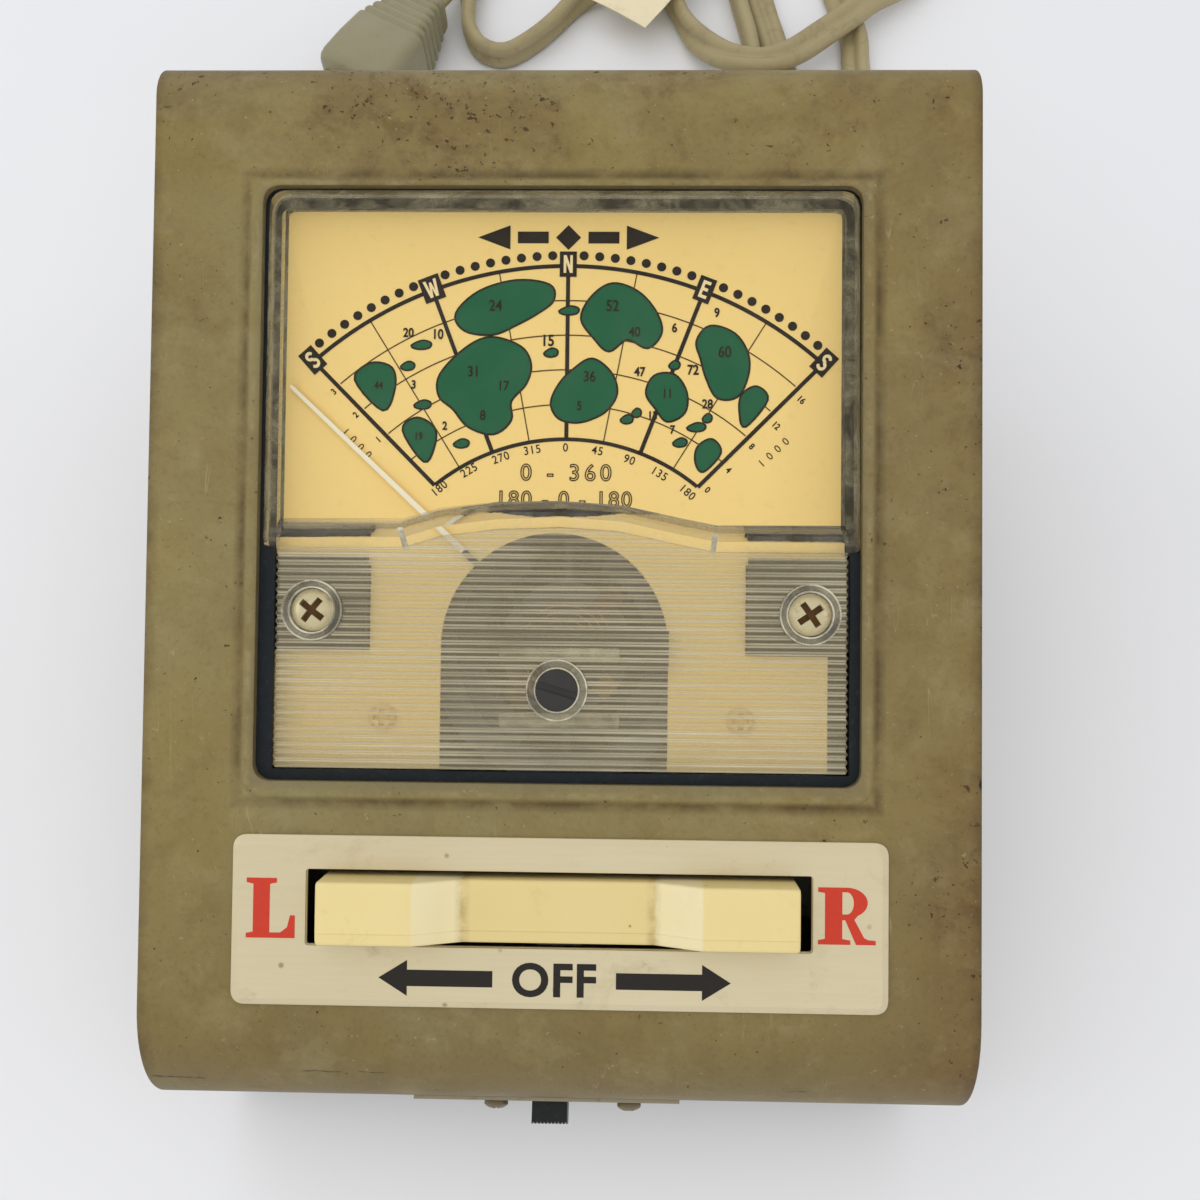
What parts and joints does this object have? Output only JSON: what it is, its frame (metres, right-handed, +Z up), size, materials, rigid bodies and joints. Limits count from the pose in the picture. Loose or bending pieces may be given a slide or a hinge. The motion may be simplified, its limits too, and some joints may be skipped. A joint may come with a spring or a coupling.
{
  "type": "antenna rotator controller",
  "caption": "Desk controller for an antenna rotator: sloping steel case, direction meter under a clear ribbed cover, wide left-right rocker, front slide switch, mains lead.",
  "frame": {"origin": "middle of the case's footprint, with the terminal block and the slide knob, on the surface it stands on", "axes": "+X to the user's right, +Y to the rear, +Z up"},
  "size_m": [0.1428, 0.3784, 0.0878],
  "materials": {
    "case_paint": "aged satin enamel",
    "zinc_steel": "dull plated",
    "screw_steel": "plated",
    "black_rubber": "matte",
    "switch_plate": "satin",
    "brown_phenolic": "moulded",
    "green_black_plastic": "moulded",
    "aged_screw": "aged brass plating",
    "label_aluminium": "fine brushed",
    "ivory_plastic": "satin",
    "black_plastic": "moulded",
    "red_plastic": "moulded",
    "gasket_foam": "matte",
    "clear_plastic": "clear moulded",
    "dark_plastic": "moulded",
    "brass": "bright",
    "dial_print": "printed matte",
    "needle_paint": "satin",
    "copper_coil": "enamelled wire",
    "bronze_spring": "bright",
    "soft_iron": "machined",
    "magnet": "ground",
    "bridge_aluminium": "stamped",
    "core_steel": "varnished laminations",
    "winding_tape": "varnished tape",
    "capacitor_can": "satin",
    "board_laminate": "laminate",
    "blue_sleeve": "shrink sleeve",
    "fuse_glass": "clear",
    "cord_vinyl": "vinyl",
    "plug_vinyl": "vinyl",
    "tag_paper": "card"
  },
  "bodies": {
    "case": {"wrap_cover": "case_paint", "side_panel_left": "case_paint", "side_panel_right": "case_paint", "base_plate": "zinc_steel", "base_screws": "screw_steel", "rubber_feet": "black_rubber", "feet_screws": "screw_steel", "power_plate": "switch_plate", "power_switch_frame": "zinc_steel", "power_switch_body": "brown_phenolic", "power_switch_screws": "aged_screw", "label_plate": "label_aluminium", "rocker_pin": "screw_steel", "rocker_bracket": "zinc_steel", "microswitches": "black_plastic", "meter_gasket": "gasket_foam", "meter_cover": "clear_plastic", "meter_cover_screws": "screw_steel", "meter_base": "black_plastic", "meter_studs": "zinc_steel", "meter_nuts": "zinc_steel", "dial_plate": "dial_print", "dial_screws": "screw_steel", "pole_core": "soft_iron", "magnet_poles": "magnet", "yoke_ring": "soft_iron", "top_bridge": "bridge_aluminium", "meter_terminals": "brass", "transformer_core": "core_steel", "transformer_winding": "winding_tape", "transformer_frame": "zinc_steel", "transformer_screws": "screw_steel", "motor_capacitor": "capacitor_can", "capacitor_clamp": "zinc_steel", "circuit_board": "board_laminate", "board_spacers": "zinc_steel", "filter_capacitor": "blue_sleeve", "rectifier": "black_plastic", "fuse": "fuse_glass", "fuse_clips": "brass", "trimmer_body": "dark_plastic", "terminal_block": "black_plastic", "terminal_screws": "screw_steel", "strain_relief": "black_rubber", "mains_cord_lead": "cord_vinyl", "mains_cord_coil": "cord_vinyl", "mains_cord_tail": "cord_vinyl", "plug_body": "plug_vinyl", "plug_blades": "brass", "cord_tag": "tag_paper"},
    "rocker": {"rocker": "ivory_plastic"},
    "left_plunger": {"left_plunger": "red_plastic"},
    "right_plunger": {"right_plunger": "red_plastic"},
    "slide_knob": {"power_switch_knob": "green_black_plastic"},
    "needle": {"needle": "needle_paint", "moving_coil": "copper_coil", "hairsprings": "bronze_spring"},
    "zero_adjuster": {"zero_adjuster": "dark_plastic"},
    "zero_lever": {"zero_lever": "brass"},
    "trimmer": {"trimmer_shaft": "brass"}
  },
  "joints": [
    {"name": "rocker_tilt", "type": "hinge", "parent": "case", "child": "rocker", "pos_m": [0.00027, -0.04484, 0.04692], "axis": [0, 0.9455, 0.3256], "range_deg": [-5, 5], "stiffness_Nm_per_rad": 0.6},
    {"name": "left_press", "type": "slide", "parent": "case", "child": "left_plunger", "axis": [0, 0.3256, -0.9455], "range_m": [-0.0018, 0.0018]},
    {"name": "right_press", "type": "slide", "parent": "case", "child": "right_plunger", "axis": [0, 0.3256, -0.9455], "range_m": [-0.0018, 0.0018]},
    {"name": "power_slide", "type": "slide", "parent": "case", "child": "slide_knob", "axis": [1, 0, 0], "range_m": [0, 0.0034]},
    {"name": "needle_swing", "type": "hinge", "parent": "case", "child": "needle", "pos_m": [0.0003, -0.01324, 0.06003], "axis": [0, 0.3256, -0.9455], "range_deg": [0, 92], "stiffness_Nm_per_rad": 0.002},
    {"name": "zero_turn", "type": "hinge", "parent": "case", "child": "zero_adjuster", "pos_m": [-0.0003, -0.01984, 0.06188], "axis": [0, -0.3256, 0.9455], "range_deg": [-30, 30]},
    {"name": "zero_lever_turn", "type": "hinge", "parent": "case", "child": "zero_lever", "pos_m": [0.0003, -0.0136, 0.06107], "axis": [0, -0.3256, 0.9455], "range_deg": [-4.6, 4.6]},
    {"name": "trimmer_turn", "type": "hinge", "parent": "case", "child": "trimmer", "pos_m": [0.024, 0.06143, 0.058], "axis": [0, 1, 0], "range_deg": [-135, 135]}
  ],
  "couplings": [
    {"joint": "left_press", "follows": "rocker_tilt", "m_per_rad": -0.02},
    {"joint": "right_press", "follows": "rocker_tilt", "m_per_rad": 0.02},
    {"joint": "zero_lever_turn", "follows": "zero_turn", "ratio": 0.15}
  ]
}
